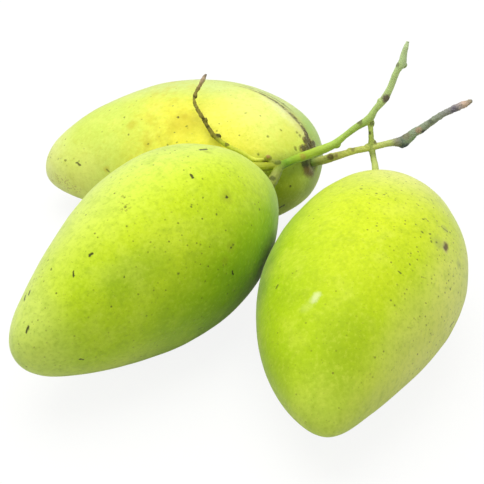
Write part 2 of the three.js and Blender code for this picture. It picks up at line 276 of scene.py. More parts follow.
class Value:
    """A shader socket that can stand in a sum, a product or a comparison."""

    def __init__(self, finish, socket):
        self.finish, self.socket = finish, socket

    def _math(self, operation, *terms):
        return self.finish.node("Math", {"operation": operation}, dict(enumerate(terms)))

    def __add__(self, other):
        return self._math("ADD", self, other)

    def __sub__(self, other):
        return self._math("SUBTRACT", self, other)

    def __rsub__(self, other):
        return self._math("SUBTRACT", other, self)

    def __mul__(self, other):
        return self._math("MULTIPLY", self, other)

    def __truediv__(self, other):
        return self._math("DIVIDE", self, other)

    def __abs__(self):
        return self._math("ABSOLUTE", self)

    __radd__, __rmul__ = __add__, __mul__

    def least(self, other):
        return self._math("MINIMUM", self, other)

    def most(self, other):
        return self._math("MAXIMUM", self, other)

    def rise(self, low, high):
        """0 below low and 1 above high, with a smooth step between them."""
        settings = {"interpolation_type": "SMOOTHSTEP", "clamp": True}
        return self.finish.node(
            "MapRange", settings, {"Value": self, "From Min": low, "From Max": high}
        )

    def fall(self, low, high):
        return 1 - self.rise(low, high)


class Finish:
    """A material and the nodes that make it."""

    def __init__(self, name):
        self.material = bpy.data.materials.new(name)
        self.material.use_nodes = True
        self.tree = self.material.node_tree
        self.tree.nodes.clear()

    def node(self, kind, settings=None, inputs=None, output=0):
        """Adds a node, sets it up, fills or links its sockets, and gives the output asked for."""
        made = self.tree.nodes.new("ShaderNode" + kind)
        for name, value in (settings or {}).items():
            setattr(made, name, value)
        for key, value in (inputs or {}).items():
            if isinstance(value, Value):
                self.tree.links.new(value.socket, made.inputs[key])
            else:
                made.inputs[key].default_value = value
        return Value(self, made.outputs[output])

    def vector(self, operation, *terms, output=0):
        return self.node("VectorMath", {"operation": operation}, dict(enumerate(terms)), output)

    def mix(self, first, second, share, blend="MIX"):
        """Blends two colours. A colour is a link or three numbers."""
        first, second = (
            c if isinstance(c, Value) else (*c[:3], 1.0) for c in (first, second)
        )
        settings = {"data_type": "RGBA", "blend_type": blend, "clamp_result": False}
        return self.node("Mix", settings, {0: share, 6: first, 7: second}, 2)

    def tint(self, colour, code, share):
        """Blends a hexadecimal screen colour into a colour."""
        return self.mix(colour, paint(code), share)

    def noise(self, place, wavelength, detail=2.0, roughness=0.5, output=0):
        inputs = {
            "Vector": place, "Scale": 1 / wavelength, "Detail": detail, "Roughness": roughness,
        }
        return self.node("TexNoise", {}, inputs, output)

    def cells(self, place, spacing, output):
        inputs = {"Vector": place, "Scale": 1 / spacing}
        return self.node("TexVoronoi", {"feature": "F1"}, inputs, output)

    def apart(self, place, start, end=None):
        """Distance from a point, or from a short line when it has an end too."""
        if end is None:
            return self.vector("DISTANCE", place, start, output="Value")
        start, end = Vector(start), Vector(end)
        line = end - start
        offset = self.vector("SUBTRACT", place, start)
        share = self.vector("DOT_PRODUCT", offset, line / line.length_squared, output="Value")
        share = share.most(0.0).least(1.0)
        nearest = self.node("VectorMath", {"operation": "SCALE"}, {0: line, "Scale": share})
        return self.vector("DISTANCE", offset, nearest, output="Value")

    def close(self, colour, roughness, height, height_scale, uniform=None):
        """Ends the material with its shader. height is in height_scale metres."""
        normal = self.node("Bump", {}, {"Height": height, "Distance": height_scale})
        inputs = {"Base Color": colour, "Roughness": roughness, "Normal": normal}
        shader = self.node("BsdfPrincipled", {}, {**inputs, **(uniform or {})})
        made = self.tree.nodes.new("ShaderNodeOutputMaterial")
        self.tree.links.new(shader.socket, made.inputs["Surface"])
        return self.material


def colour_property(name, code, description):
    return FloatVectorProperty(
        name=name, description=description, default=paint(code), subtype="COLOR",
        min=0.0, max=1.0,
    )


def length_property(name, default, description):
    return FloatProperty(
        name=name, description=description, default=default, unit="LENGTH", min=0.0, precision=5,
    )


class LeftMangoSettings(bpy.types.PropertyGroup):
    """Sizes and colours of the left fruit."""

    length: length_property("Length", 0.1223, "From the stem end to the tip")
    width: length_property("Width", 0.0655, "From the belly to the back")
    thickness: length_property("Thickness", 0.0732, "Across the two flat sides")
    skin: colour_property("Skin", 0xB6D604, "Main colour of the skin")
    blush: colour_property("Blush", 0xD2E81A, "Yellower colour of the ripest side")
    # The shade colour also stands for painted shade where the left fruit faces the right one
    shade: colour_property("Shade", 0x7CAE02, "Greener colour towards the stem")


class RightMangoSettings(bpy.types.PropertyGroup):
    """Sizes and colours of the right fruit."""

    length: length_property("Length", 0.1255, "From the stem end to the tip")
    width: length_property("Width", 0.0737, "From the belly to the back")
    thickness: length_property("Thickness", 0.061, "Across the two flat sides")
    skin: colour_property("Skin", 0xB8D400, "Main colour of the skin")
    blush: colour_property("Blush", 0xD0E212, "Yellower colour of the ripest side")
    # The shade colour also stands for painted shade where the right fruit faces the left one
    shade: colour_property("Shade", 0x98C402, "Greener colour towards the tip")


class BackMangoSettings(bpy.types.PropertyGroup):
    """Sizes and colours of the fruit at the back."""

    length: length_property("Length", 0.1219, "From the stem end to the tip")
    width: length_property("Width", 0.0725, "From the belly to the back")
    thickness: length_property("Thickness", 0.0568, "Across the two flat sides")
    skin: colour_property("Skin", 0xD2E65C, "Green colour of the ends and the back")
    blush: colour_property("Blush", 0xF0EA44, "Yellow of the ripe side")
    # The shade colour also stands for painted shade under the stalk and the other fruits
    shade: colour_property("Shade", 0xA2B42A, "Greener colour of the belly")


class StalkSettings(bpy.types.PropertyGroup):
    """Thickness and wear of the fruit stalk."""

    bark_tint: colour_property("Bark tint", 0xFFFFFF, "Multiplies the bark's own colours")
    ridge: length_property("Ridge", 0.00004, "Height of the ridges on fresh bark")
    wrinkle: length_property("Wrinkle", 0.0002, "Height of the wrinkles on dry bark")


class StudioSettings(bpy.types.PropertyGroup):
    """Camera, floor and light."""

    lens: FloatProperty(
        name="Lens", description="Focal length", default=79.36, min=10.0, unit="CAMERA"
    )
    distance: length_property("Distance", 0.42, "From the camera to the point it looks at")
    elevation: FloatProperty(
        name="Elevation", description="Height of the camera above the horizon",
        default=math.radians(37), subtype="ANGLE",
    )
    floor: colour_property("Floor", 0x62625F, "Colour of the floor")
    bounce: colour_property("Bounce", 0xCCCCCA, "Colour of the floor as the fruits see it")
    floor_glow: FloatProperty(
        name="Floor glow", description="Light that the floor gives off by itself", default=0.88
    )
    sky: FloatProperty(name="Sky", description="Strength of the light from above", default=0.56)
    sky_below: FloatProperty(
        name="Sky below", description="Strength of the light from below the horizon", default=0.5
    )
    key: FloatProperty(
        name="Key light", description="Power of the main light in watts", default=5.2
    )


class MangoSettings(bpy.types.PropertyGroup):
    """All that a user may change."""

    left: PointerProperty(type=LeftMangoSettings)
    right: PointerProperty(type=RightMangoSettings)
    back: PointerProperty(type=BackMangoSettings)
    stalk: PointerProperty(type=StalkSettings)
    studio: PointerProperty(type=StudioSettings)


def girth(form, c, side):
    """Half girth of a fruit where c, 1 at the stem and -1 at the tip, and side, 1 at the back."""
    power = (form["stem_point"] * (1 + c) + form["tip_point"] * (1 - c)) / 2
    fullness = (form["stem_full"] - form["back_full"] * side) * c + form["end_full"] * c * c
    to_stem, to_tip, to_belly = (1 + c) / 2, (1 - c) / 2, (1 - side) / 2
    before_tip = SINUS_GAIN * to_tip**4 * to_stem * to_belly
    return math.sqrt(max(0.0, 1 - c * c)) ** power * (1 + fullness - form["sinus"] * before_tip)


def shape_fruit(bm, form, size):
    """Draws a unit sphere out into the fruit's form in the CAD source's axes, in millimetres.
    Gives the point where the fruit's own axes cross."""
    half_length, half_width, half_thickness = (extent / MM / 2 for extent in size)
    widest = max(girth(form, math.cos(math.radians(a)), 0) for a in range(1, 180))
    turn = Euler([math.radians(a) for a in form["turn"]]).to_matrix()
    for vert in bm.verts:
        along = -vert.co.z
        ring = math.hypot(vert.co.x, vert.co.y) or 1.0
        side, up = vert.co.x / ring, -vert.co.y / ring
        radius = girth(form, -along, side) / widest
        bend = form["stem_bend" if along < 0 else "tip_bend"] * along**2
        vert.co = turn @ Vector((
            half_length * along, half_width * radius * side - bend, half_thickness * radius * up,
        ))
    sink = min(vert.co.z for vert in bm.verts) + REST_SINK
    for vert in bm.verts:
        vert.co += Vector((*form["place"], -sink))
    return Vector((*form["place"], -sink))


def smooth_fruit(form, size):
    """A fruit's smooth form in a coarser mesh, and the point where the fruit's own axes cross."""
    bm = bmesh.new()
    bmesh.ops.create_uvsphere(bm, u_segments=80, v_segments=56, radius=1.0)
    return bm, shape_fruit(bm, form, size)


def camera_back(studio):
    """The direction from what the camera looks at to the camera."""
    return Vector((0.0, -math.cos(studio.elevation), math.sin(studio.elevation)))


def photo_ray(u, v):
    """The camera's place and its sight line through a pixel of the photograph, in the CAD
    source's millimetres. Pixels are numbered from 0, from the upper left corner."""
    studio = bpy.context.scene.mangoes.studio
    back = camera_back(studio)
    up = back.cross(Vector((1.0, 0.0, 0.0)))
    focal = PHOTO_SIDE * studio.lens / SENSOR
    across, down = ((place + 0.5 - PHOTO_SIDE / 2) / focal for place in (u, v))
    eye = Vector(LOOK_AT) + back * studio.distance / MM
    return eye, Vector((across, 0.0, 0.0)) - up * down - back


def cluster_shift():
    """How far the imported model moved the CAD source, in millimetres."""
    left = bpy.context.scene.mangoes.left
    bm, _ = smooth_fruit(FORMS["mango_left"], (left.length, left.width, left.thickness))
    low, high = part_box("mango_left")
    shift = [
        (low[i] + high[i]) / 2 / MM
        - (min(v.co[i] for v in bm.verts) + max(v.co[i] for v in bm.verts)) / 2
        for i in (0, 1)
    ]
    bm.free()
    return Vector((*shift, 0.0))


def press_seat(bm, form):
    """The hollow where the stalk enters, with a slightly swollen rim."""
    seat, facing = Vector(form["seat"]), Vector(form["seat_facing"]).normalized()
    rim_height, rim_distance, rim_breadth = SEAT_RIM
    for vert in bm.verts:
        reach = (vert.co - seat).length
        if reach < 4 * SEAT_RADIUS:
            hollow = SEAT_DEPTH * math.exp(-((reach / SEAT_RADIUS) ** 2))
            rim = rim_height * math.exp(-(((reach - rim_distance) / rim_breadth) ** 2))
            vert.co += facing * (rim - hollow)


def roughen_skin(bm, seed):
    """Slow lumps along the skin's own normals."""
    bm.normal_update()
    normals = [vert.normal.copy() for vert in bm.verts]
    for vert, normal in zip(bm.verts, normals):
        lift = sum(
            height * noise.noise(vert.co / wavelength + Vector((seed, 0, 0)))
            for wavelength, height in LUMPS
        )
        vert.co += normal * lift


def fit_to_node(bm, node):
    """Moves and stretches the piece by a hair so that it fills the box of its CAD node."""
    low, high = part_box(node)
    for i in range(3):
        first = min(vert.co[i] for vert in bm.verts)
        last = max(vert.co[i] for vert in bm.verts)
        stretch = (high[i] - low[i]) / (last - first)
        for vert in bm.verts:
            vert.co[i] = low[i] + (vert.co[i] - first) * stretch


def add_piece(name, bm, material, node):
    """Puts the mesh into the scene in place of its CAD node."""
    mesh = bpy.data.meshes.new(name)
    bm.to_mesh(mesh)
    bm.free()
    mesh.shade_smooth()
    mesh.materials.append(material)
    piece = bpy.data.objects.new(name, mesh)
    bpy.context.scene.collection.objects.link(piece)
    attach(piece, "root")
    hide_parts(node)
    return piece


def build_fruit(side, finish, seed):
    """Builds the left, right or back fruit, with the skin that finish makes."""
    settings = getattr(bpy.context.scene.mangoes, side)
    node = "mango_" + side
    form = FORMS[node]
    bm = bmesh.new()
    bmesh.ops.create_uvsphere(bm, u_segments=FRUIT_SIDES, v_segments=FRUIT_RINGS, radius=1.0)
    shape_fruit(bm, form, (settings.length, settings.width, settings.thickness))
    press_seat(bm, form)
    roughen_skin(bm, seed)
    for vert in bm.verts:
        vert.co.z = max(vert.co.z, 0.0)
    fit_to_node(bm, node)
    return add_piece(node + "_fruit", bm, finish(settings), node)


class FruitSkin(Finish):
    """The skin that the three fruits share. place is in the fruit's own axes, in millimetres."""

    def __init__(self, name, node, settings):
        super().__init__(name)
        self.form = FORMS[node]
        size = (settings.length, settings.width, settings.thickness)
        self.half = Vector(size) / MM / 2
        bm, self.origin = smooth_fruit(self.form, size)
        self.surface = bvhtree.BVHTree.FromBMesh(bm)
        bm.free()
        self.middle = self.origin + cluster_shift()
        self.turn = Euler([math.radians(a) for a in self.form["turn"]])
        inputs = {
            "Vector": self.node("TexCoord", output="Object"),
            "Location": self.middle * MM, "Rotation": self.turn, "Scale": (MM, MM, MM),
        }
        self.place = self.node("Mapping", {"vector_type": "TEXTURE"}, inputs)
        self.x, self.y, self.z = (
            self.node("SeparateXYZ", {}, {0: self.place}, axis) for axis in "XYZ"
        )
        # Marks are measured on one smooth ellipsoid, so that no lump in the skin hides them
        drawn = self.vector("NORMALIZE", self.vector("DIVIDE", self.place, self.half))
        waver = self.vector(
            "SUBTRACT", self.noise(self.place, WAVER[0], 2.0, 0.6, output="Color"), (0.5,) * 3
        )
        self.ragged = self.node(
            "VectorMath", {"operation": "MULTIPLY_ADD"},
            {0: waver, 1: (WAVER[1],) * 3, 2: self.vector("MULTIPLY", drawn, self.half)},
        )
        self.edge = self.clouds(2.6, 4.0, 0.65) - 0.5
        self.height = 0.0

    def clouds(self, wavelength, detail=2.0, roughness=0.5):
        return self.noise(self.place, wavelength, detail, roughness)

    def on_ellipsoid(self, pixel):
        """Where a mark that the photograph shows at a pixel lies on the smooth ellipsoid."""
        seen, *_ = self.surface.ray_cast(*photo_ray(*pixel))
        place = self.turn.to_matrix().transposed() @ (seen - self.origin)
        drawn = Vector(p / h for p, h in zip(place, self.half)).normalized()
        return Vector(d * h for d, h in zip(drawn, self.half))

    def marks(self, listed):
        """1 inside the listed marks and 0 outside. A mark is a radius in millimetres, and the
        photograph's pixels where it starts and, if it is long, where it ends."""
        nearest = None
        for radius, *ends in listed:
            reach = self.apart(self.ragged, *(self.on_ellipsoid(end) for end in ends)) / radius
            nearest = reach if nearest is None else nearest.least(reach)
        return nearest.fall(0.4, 1.5)

    def patch(self, radius, *ends, softness=1.5, raggedness=1.6):
        """A larger mark with an uneven edge."""
        reach = self.apart(self.ragged, *(self.on_ellipsoid(end) for end in ends)) / radius
        return (reach + self.edge * raggedness).fall(1.0 / softness, softness)

    def spots(self, colour, code, share, listed, lift=0.0):
        mask = self.marks(listed)
        self.height = mask * lift + self.height
        return self.tint(colour, code, mask * share)

    def patches(self, colour, code, share, listed, softness=2.5):
        for radius, *ends in listed:
            mask = self.patch(radius, *ends, softness=softness)
            colour = self.tint(colour, code, mask * share)
        return colour

    def freckles(self, colour, code, share, listed):
        """Fine specks that fill a patch."""
        specks = self.clouds(1.1).rise(0.54, 0.66)
        for radius, *ends in listed:
            mask = self.patch(radius, *ends, softness=2.0) * specks
            colour = self.tint(colour, code, mask * share)
        return colour

    def mottle(self, colour, dark, light):
        """Clouds of lighter and darker skin, and the fine grain between the lenticels."""
        clouds = self.clouds(13.0, 3.0, 0.55)
        blotches = self.clouds(4.2, 2.0, 0.6)
        grain = self.clouds(1.5, 3.0, 0.65)
        colour = self.tint(colour, dark, clouds.rise(0.5, 0.76) * 0.3)
        colour = self.tint(colour, light, clouds.fall(0.26, 0.5) * 0.25)
        colour = self.tint(colour, dark, blotches.rise(0.5, 0.76) * 0.26)
        colour = self.tint(colour, dark, grain.rise(0.46, 0.74) * 0.3)
        colour = self.tint(colour, light, grain.fall(0.3, 0.5) * 0.2)
        self.height = self.height + grain * 0.16 + blotches * 0.14
        return colour

    def lenticels(self, colour, code, layers):
        """Small dark dots. A layer is the spacing, the dots' radius, the share that is left out,
        the strength, and where they are."""
        for spacing, radius, left_out, strength, where in layers:
            distance = self.cells(self.place, spacing, "Distance") * spacing
            chance = self.node("SeparateColor", {}, {0: self.cells(self.place, spacing, "Color")})
            dot = distance.fall(radius * 0.45, radius * 1.3) * chance.rise(left_out, 1.0) * where
            colour = self.tint(colour, code, dot * strength)
            self.height = self.height + dot * 0.05
        return colour

    def stalk_seat(self, colour):
        """Brown skin round the point where the stalk enters."""
        seat = Vector(self.form["seat"]) + cluster_shift() - self.middle
        reach = self.apart(self.place, self.turn.to_matrix().transposed() @ seat)
        return self.tint(colour, 0x6B6A2C, (reach + self.edge * 2).fall(2.6, 5.0) * 0.8)

    def finish(self, colour, roughness):
        grain = self.clouds(0.6, 2.0, 0.6)
        uneven = self.clouds(6.0)
        roughness = grain * 0.10 + uneven * 0.10 + (roughness - 0.1)
        return self.close(colour, roughness, self.height + grain * 0.02, MM, WAX)


def left_skin(settings):
    """Yellower on top, greener on the back near the stem with painted shade where it faces the
    right fruit, and paler on the belly and the tip, waxy bloom with painted sheen.
    """
    skin = FruitSkin("left_mango_skin", "mango_left", settings)
    drift = (skin.clouds(26.0) - 0.5) * 40
    ripe = (skin.z - skin.y * 0.4 + drift).rise(-6.0, 34.0)
    colour = skin.mix(settings.skin, settings.blush, ripe)
    # Greener low on the back near the stem: the skin's own green, with painted shade where the
    # fruit faces the right one
    green_and_shade = (skin.y * 0.8 - skin.z * 0.5 - skin.x * 0.3 + drift * 0.5).rise(11.0, 38.0)
    colour = skin.mix(colour, settings.shade, green_and_shade * 0.9)
    # Paler belly: waxy bloom, with a painted sheen along this flank
    bloom_and_painted_sheen = (drift * 0.25 - skin.y).rise(-18.0, 13.0)
    colour = skin.tint(colour, 0xDCEA8C, bloom_and_painted_sheen * 0.5)
    # Paler low down towards the tip: waxy bloom, with a painted reflection of the pale floor
    low = (drift * 0.2 - skin.z).rise(0.0, 14.0) * skin.x.rise(4.0, 30.0)
    colour = skin.tint(colour, 0xE2EC80, low * 0.4)
    colour = skin.patches(colour, 0x84B008, 0.4, LEFT_GREEN_CLOUD)
    # Paler tip: waxy bloom, with a painted sheen
    colour = skin.tint(colour, 0xE0F084, (skin.x + drift * 0.3).rise(36.0, 60.0) * 0.5)
    # Lighter clouds on the right half of the fruit: painted light
    colour = skin.patches(colour, 0xDCF03C, 0.4, LEFT_PAINTED_LIGHT_CLOUDS)
    # Painted shade where the left fruit meets the right one
    colour = skin.patches(colour, 0x3A6404, 0.6, LEFT_CREASE_SHADE)
    colour = skin.mottle(colour, 0x8AAC0E, 0xE2F25A)
    crowding = skin.clouds(16.0, 1.0).rise(0.42, 0.62)
    colour = skin.lenticels(colour, 0x586006, (
        (3.0, 0.4, 0.35, 0.8, 1.0), (1.9, 0.36, 0.25, 0.65, crowding), (1.15, 0.2, 0.1, 0.35, 1.0),
    ))
    colour = skin.freckles(colour, 0x7E8016, 0.5, LEFT_SPECKS)
    colour = skin.patches(colour, 0x9AA818, 0.5, LEFT_HALOS)
    colour = skin.spots(colour, 0x5A6A10, 0.8, LEFT_FAINT_DOTS)
    colour = skin.spots(colour, 0x2C2C0A, 0.94, LEFT_DARK_DASHES, lift=-0.08)
    return skin.finish(skin.stalk_seat(colour), 0.44)


def right_skin(settings):
    """Greener on the back, with painted shade where it faces the left fruit, and pale along the
    belly, with a white scuff, a brown scar and a painted sheen towards the stem end.
    """
    skin = FruitSkin("right_mango_skin", "mango_right", settings)
    drift = (skin.clouds(24.0) - 0.5) * 36
    ripe = (drift - skin.z - skin.x * 0.35).rise(4.0, 38.0)
    colour = skin.mix(settings.skin, settings.blush, ripe)
    # Greener on the back: the skin's own green, with painted shade where the fruit faces the left
    # one
    green_and_shade = (skin.y * 0.8 + drift * 0.7).rise(8.0, 38.0)
    colour = skin.mix(colour, settings.shade, green_and_shade * 0.85)
    pale = (drift * 0.4 - skin.y + skin.x * 0.35).rise(13.0, 35.0)
    colour = skin.tint(colour, 0xF2F480, pale * 0.75)
    # Paler towards the stem end and along the belly: waxy bloom, with a painted sheen on the rim
    bloom_and_painted_sheen = (drift * 0.3 - skin.x).rise(20.0, 52.0) * (drift * 0.3 - skin.y).rise(-24.0, 8.0)
    colour = skin.tint(colour, 0xF0F094, bloom_and_painted_sheen * 0.7)
    colour = skin.patches(colour, 0x8CAC00, 0.42, RIGHT_GREEN_CLOUD, softness=3.2)
    colour = skin.tint(colour, 0xE0F07C, (skin.x + drift * 0.3).rise(44.0, 66.0) * 0.35)
    # Painted shade where the right fruit meets the left one
    colour = skin.patches(colour, 0x5A8604, 0.45, RIGHT_CREASE_SHADE)
    colour = skin.mottle(colour, 0x98B40E, 0xE8F05A)
    crowding = (skin.clouds(12.0, 1.0) * 22 - skin.y - skin.x * 0.6).rise(0.0, 22.0)
    colour = skin.lenticels(colour, 0x6C6A10, (
        (2.9, 0.4, 0.35, 0.75, 1.0), (1.75, 0.38, 0.1, 0.75, crowding), (1.2, 0.2, 0.1, 0.35, 1.0),
    ))
    scuff = skin.patch(*SCUFF, softness=2.2, raggedness=1.4)
    tail = skin.patch(*SCUFF_TAIL, softness=3.0)
    colour = skin.tint(colour, 0xEAF2B4, scuff * 0.62)
    colour = skin.tint(colour, 0xDDE88C, tail * 0.18)
    colour = skin.patches(colour, 0x9CA850, 0.5, RIGHT_HALOS)
    colour = skin.spots(colour, 0xC2A98C, 0.3, SCAR_RIM)
    colour = skin.spots(colour, 0x59660F, 0.8, RIGHT_FAINT_DOTS)
    colour = skin.spots(colour, 0x5A4022, 0.94, RIGHT_SCAR, lift=-0.15)
    skin.height = skin.height + scuff * 0.1
    return skin.finish(skin.stalk_seat(colour), 0.44)


def back_skin(settings):
    """Ripe yellow in the middle of its upper side, with cork and a line of dried sap."""
    skin = FruitSkin("back_mango_skin", "mango_back", settings)
    # The cleft is the line that dried sap left from the stem end over the shoulder
    cleft = skin.vector("DOT_PRODUCT", skin.place, SAP_FACING, output="Value") + SAP_OFFSET
    drift = (skin.clouds(16.0, 3.0, 0.55) - 0.5) * 30
    fine_drift = skin.edge * 12
    ripe = (abs(skin.x + 22.0) + drift + fine_drift).fall(12.0, 50.0)
    ripe = ripe * (cleft + drift * 0.3 + fine_drift * 0.5).fall(-22.0, -6.0)
    colour = skin.mix(settings.skin, settings.blush, ripe)
    tip = (skin.x + drift * 0.4).rise(14.0, 44.0) * (drift * 0.3 - skin.y).rise(10.0, 30.0)
    colour = skin.tint(colour, 0xEAF278, tip * 0.8)
    # Paler back by the stem end, on the upper rim: waxy bloom, with a painted sheen
    rim = (skin.y + drift * 0.3).rise(1.0, 15.0) * skin.x.rise(-36.0, -16.0)
    colour = skin.tint(colour, 0xCEDC98, rim * 0.5)
    colour = skin.tint(colour, 0xF2F4B4, (skin.x + drift * 0.2).rise(42.0, 58.0) * 0.5)
    lit = skin.patch(*BACK_LIT_PATCH, softness=3.0)
    colour = skin.tint(colour, 0xFAF892, lit * 0.5)
    # Greener belly by the stem end: the skin's own green, with painted shade under the stalk and
    # the other fruits
    belly_green_and_shade = (drift * 0.3 - skin.y).rise(17.0, 25.0) * skin.x.fall(-44.0, -30.0)
    colour = skin.mix(colour, settings.shade, belly_green_and_shade * 0.9)
    cream = (cleft + fine_drift * 0.4).rise(-7.0, -1.5) * skin.x.fall(-42.0, -28.0)
    colour = skin.tint(colour, 0xF2F4CC, cream * skin.y.rise(-7.0, 0.0) * 0.5)
    beyond = (cleft + fine_drift * 0.1).rise(-0.6, 1.4) * skin.x.fall(-34.0, -16.0)
    beyond = beyond * skin.y.rise(-9.0, -3.0)
    paler = (skin.x + drift * 0.2).rise(-56.0, -44.0)
    far_green = skin.mix(paint(0x99C35C), paint(0xC6D88A), paler)
    colour = skin.mix(colour, far_green, beyond * 0.9)
    colour = skin.mottle(colour, 0xC6CC34, 0xF4F67C)
    ochre = skin.clouds(5.0, 3.0, 0.6).rise(0.4, 0.7)
    ochre = ochre * abs(skin.x - 4.0 + drift * 0.4).fall(4.0, 18.0)
    colour = skin.tint(colour, 0xCFC42C, ochre * 0.5)
    crowding = skin.clouds(14.0, 1.0).rise(0.45, 0.65)
    colour = skin.lenticels(colour, 0x7A7C22, (
        (3.1, 0.42, 0.4, 0.7, 1.0), (1.9, 0.32, 0.3, 0.45, crowding), (1.2, 0.2, 0.1, 0.2, 1.0),
    ))
    colour = skin.patches(colour, 0xC6B41E, 0.5, BACK_OCHRE_HALOS, softness=2.4)
    colour = skin.patches(colour, 0xD2CC30, 0.3, BACK_OCHRE_CLOUD)
    colour = skin.freckles(colour, 0x6C7430, 0.6, BACK_TIP_SPECKS)
    colour = skin.freckles(colour, 0xA07C44, 0.45, BACK_BELLY_SPECKS)
    colour = skin.spots(colour, 0x6F7A1C, 0.8, BACK_FAINT_DOTS)
    colour = skin.spots(colour, 0x78761E, 0.75, BACK_SHOULDER_DOTS)
    colour = skin.spots(colour, 0x3F3A10, 0.88, BACK_DARK_DOTS)
    waver = (skin.clouds(5.0, 2.0, 0.6) - 0.5) * 0.9
    reach = abs(cleft + waver)
    length = skin.x.fall(-30.0, -17.0) * skin.y.rise(-8.0, -3.0)
    broken = skin.clouds(2.2, 3.0, 0.6).rise(0.34, 0.56)
    width = (-20.0 - skin.x).rise(0.0, 40.0) * 0.75 + 0.35
    stain = (reach / width).fall(0.6, 4.2) * length * skin.clouds(2.4, 3.0, 0.65)
    line = (reach / width).fall(0.3, 1.3) * length * broken
    second = abs(cleft + waver * 2 - 2.3).fall(0.2, 0.9) * length * skin.x.rise(-50.0, -44.0)
    colour = skin.tint(colour, 0xA08C3C, stain * 0.6)
    colour = skin.tint(colour, 0x4A3D18, line.most(second * broken * 0.7) * 0.85)
    # Cork round the stem end, dry and cracked above the stalk and thinner below it, with painted
    # shade in the pit where the stalk enters
    crumb = skin.clouds(1.5, 3.0, 0.65)
    cork = skin.patch(*CORK_WEDGE, raggedness=1.4)
    cork = cork.most(skin.patch(*CORK_RIM, raggedness=1.1))
    cork = cork.most(skin.patch(*CORK_CORNER, raggedness=1.1))
    # Painted shade in the pit where the stalk enters
    pit_shadow = skin.patch(*PIT_SHADOW, raggedness=1.2)
    scab = skin.patch(*SCAB, softness=2.0, raggedness=1.2)
    # Greener low on the stem end, with painted shade below the stalks
    low = skin.patch(*LOW_GREEN_AND_SHADE, softness=2.5)
    colour = skin.tint(colour, 0x6C8E20, low * 0.5)
    # Painted shadow under the main stalk
    stalk_shadow = skin.patch(*STALK_SHADOW_PATCH, softness=3.0)
    colour = skin.tint(colour, 0x5E7C14, stalk_shadow * 0.55)
    cork_colour = skin.mix(paint(0x4A3A12), paint(0x9E8648), crumb.rise(0.5, 0.7))
    colour = skin.tint(colour, 0x745628, scab * 0.9)
    colour = skin.tint(colour, 0x2C3616, pit_shadow * 0.85)
    colour = skin.mix(colour, cork_colour, cork * 0.92)
    skin.height = skin.height - line * 0.3 + cork * crumb * 0.6 + scab * crumb * 0.2
    return skin.finish(skin.stalk_seat(colour), 0.44)


def limb_samples(points):
    """Points close together along a limb's smooth centreline: place, radius and point number."""
    places = [Vector(p[:3]) for p in points]
    places = [2 * places[0] - places[1], *places, 2 * places[-1] - places[-2]]
    samples = []
    for number in range(len(points) - 1):
        before, start, end, after = places[number : number + 4]
        first, span, last = (
            math.sqrt((b - a).length) for a, b in ((before, start), (start, end), (end, after))
        )
        leave = (start - before) / first - (end - before) / (first + span) + (end - start) / span
        arrive = (end - start) / span - (after - start) / (span + last) + (after - end) / last
        count = max(2, math.ceil((end - start).length / STALK_STEP))
        curve = geometry.interpolate_bezier(
            start, start + leave * span / 3, end - arrive * span / 3, end, count + 1
        )
        for step, place in enumerate(curve[: count + (number == len(points) - 2)]):
            share = step / count
            diameter = points[number][3] * (1 - share) + points[number + 1][3] * share
            samples.append((place, diameter / 2, number + share))
    return samples


def limb_mesh(samples):
    """A round limb along the samples, by a curve with a radius at each point."""
    curve = bpy.data.curves.new("limb", "CURVE")
    curve.dimensions = "3D"
    curve.bevel_depth = 1.0
    curve.bevel_resolution = 6
    curve.use_fill_caps = True
    spline = curve.splines.new("POLY")
    spline.points.add(len(samples) - 1)
    for point, (place, radius, _) in zip(spline.points, samples):
        point.co = (*place, 1.0)
        point.radius = radius
    holder = bpy.data.objects.new("limb", curve)
    bpy.context.scene.collection.objects.link(holder)
    mesh = bpy.data.meshes.new_from_object(
        holder.evaluated_get(bpy.context.evaluated_depsgraph_get())
    )
    bpy.data.objects.remove(holder)
    bpy.data.curves.remove(curve)
    return mesh


def fuse(bm):
    """One skin round all the closed shells in the mesh."""
    mesh = bpy.data.meshes.new("shells")
    bm.to_mesh(mesh)
    bm.free()
    holder = bpy.data.objects.new("shells", mesh)
    bpy.context.scene.collection.objects.link(holder)
    remesh = holder.modifiers.new("fuse", "REMESH")
    remesh.mode = "VOXEL"
    remesh.voxel_size = STALK_VOXEL
    remesh.use_smooth_shade = True
    fused = bpy.data.meshes.new_from_object(
        holder.evaluated_get(bpy.context.evaluated_depsgraph_get())
    )
    bpy.data.objects.remove(holder)
    made = bmesh.new()
    made.from_mesh(fused)
    return made


def bark_at(stops, number):
    """Colour and dryness of a limb at a point number."""
    for (first, code, dry), (last, next_code, next_dry) in zip(stops, stops[1:]):
        if number <= last:
            share = max(0.0, (number - first) / (last - first))
            colour = Vector(paint(code)).lerp(Vector(paint(next_code)), share)
            return colour, dry * (1 - share) + next_dry * share
    return Vector(paint(stops[-1][1])), stops[-1][2]


def smooth_step(low, high, value):
    share = min(1.0, max(0.0, (value - low) / (high - low)))
    return share * share * (3 - 2 * share)


